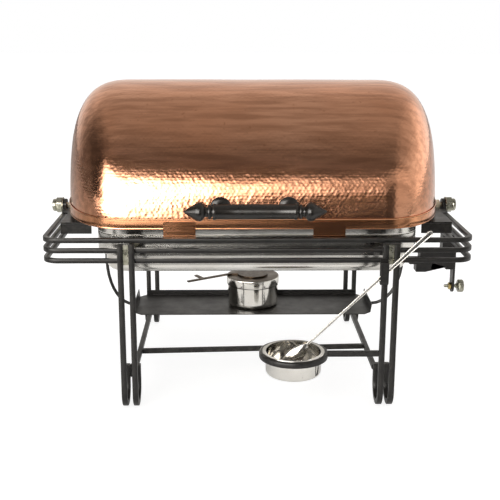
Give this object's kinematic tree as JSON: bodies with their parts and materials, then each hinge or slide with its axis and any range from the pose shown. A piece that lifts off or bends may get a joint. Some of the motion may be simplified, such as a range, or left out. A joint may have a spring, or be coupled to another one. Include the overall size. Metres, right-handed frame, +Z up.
{
  "type": "chafing dish",
  "caption": "Rectangular roll-top chafing dish: domed copper lid on side pivots, bath pan with food pan, burner tray below, wrought-iron stand with sauce cup and serving spoon.",
  "frame": {"origin": "on the floor, under the middle of the overall box", "axes": "+X to the user's right along the lid's pivot line, +Y to the back, +Z up"},
  "size_m": [0.7548, 0.5404, 0.525],
  "materials": {
    "wrought_iron": "satin black with a rubbed brown sheen",
    "hammered_copper": "polished, hand-hammered dents",
    "plain_copper": "polished smooth",
    "stainless": "polished stainless steel",
    "zinc": "zinc plated",
    "brass": "bright",
    "nylon": "matt",
    "black_handle": "satin black",
    "fuel_can": "plain tin"
  },
  "bodies": {
    "frame": {"top_rail": "wrought_iron", "middle_rail": "wrought_iron", "lower_rail": "wrought_iron", "leg_front_left_outer": "wrought_iron", "leg_front_left_inner": "wrought_iron", "foot_tie_front_left": "wrought_iron", "leg_front_right_outer": "wrought_iron", "leg_front_right_inner": "wrought_iron", "foot_tie_front_right": "wrought_iron", "leg_rear_left_outer": "wrought_iron", "leg_rear_left_inner": "wrought_iron", "foot_tie_rear_left": "wrought_iron", "leg_rear_right_outer": "wrought_iron", "leg_rear_right_inner": "wrought_iron", "foot_tie_rear_right": "wrought_iron", "side_stretcher_left": "wrought_iron", "pivot_plate_left": "wrought_iron", "plate_apron_left": "wrought_iron", "pivot_upright_left": "wrought_iron", "ring_hanger_left": "wrought_iron", "tray_arm_left": "wrought_iron", "side_stretcher_right": "wrought_iron", "pivot_plate_right": "wrought_iron", "plate_apron_right": "wrought_iron", "pivot_upright_right": "wrought_iron", "ring_hanger_right": "wrought_iron", "tray_arm_right": "wrought_iron", "cross_stretcher": "wrought_iron", "fuel_tray": "wrought_iron", "cup_holder": "wrought_iron", "spoon_hook": "wrought_iron", "stop_bracket": "wrought_iron", "stop_strap": "wrought_iron", "pivot_bolt_left": "zinc", "pivot_nut_left": "zinc", "leg_tie_left": "zinc", "pivot_bolt_right": "zinc", "pivot_nut_right": "zinc", "leg_tie_right": "zinc", "pivot_spacer_left": "nylon", "pivot_spacer_right": "nylon", "strap_nut": "brass", "pan_ring": "stainless"},
    "lid": {"lid_shell": "hammered_copper", "lid_rim_band": "plain_copper", "lid_ear_left": "stainless", "lid_ear_right": "stainless", "handle_grip": "black_handle", "handle_post_left": "black_handle", "handle_post_right": "black_handle"},
    "water_pan": {"water_pan": "stainless"},
    "food_pan": {"food_pan": "stainless"},
    "burner": {"burner_holder": "stainless", "burner_cap": "stainless", "fuel_can": "fuel_can"},
    "damper": {"damper": "stainless"},
    "cup": {"sauce_cup": "stainless"},
    "spoon": {"serving_spoon": "stainless"},
    "screw_shank": {"screw_shank": "zinc"},
    "screw_knob": {"screw_knob": "zinc"}
  },
  "joints": [
    {"name": "lid_roll", "type": "hinge", "parent": "frame", "child": "lid", "pos_m": [-0.00725, 0.0259, 0.2985], "axis": [-1, 0, 0], "range_deg": [0, 90]},
    {"name": "water_pan_lift", "type": "slide", "parent": "frame", "child": "water_pan", "axis": [0, 0, 1], "range_m": [0, 0.03]},
    {"name": "food_pan_lift", "type": "slide", "parent": "water_pan", "child": "food_pan", "axis": [0, 0, 1], "range_m": [0, 0.06]},
    {"name": "burner_slide", "type": "slide", "parent": "frame", "child": "burner", "axis": [1, 0, 0], "range_m": [-0.08, 0.1]},
    {"name": "damper_swing", "type": "hinge", "parent": "burner", "child": "damper", "pos_m": [-0.05075, 0.0309, 0.1656], "axis": [0, 0, 1], "range_deg": [0, 80]},
    {"name": "cup_lift", "type": "slide", "parent": "frame", "child": "cup", "axis": [0, 0, 1], "range_m": [0, 0.04]},
    {"name": "spoon_lift", "type": "slide", "parent": "cup", "child": "spoon", "axis": [0, 0, 1], "range_m": [0, 0.09]},
    {"name": "screw_feed", "type": "slide", "parent": "frame", "child": "screw_shank", "axis": [1, 0, 0], "range_m": [-0.002, 0.002]},
    {"name": "knob_turn", "type": "hinge", "parent": "screw_shank", "child": "screw_knob", "pos_m": [0.34195, -0.0071, 0.152], "axis": [1, 0, 0], "range_deg": [-800, 800]}
  ],
  "couplings": [
    {"joint": "knob_turn", "follows": "screw_feed", "rad_per_m": 6283.2}
  ]
}
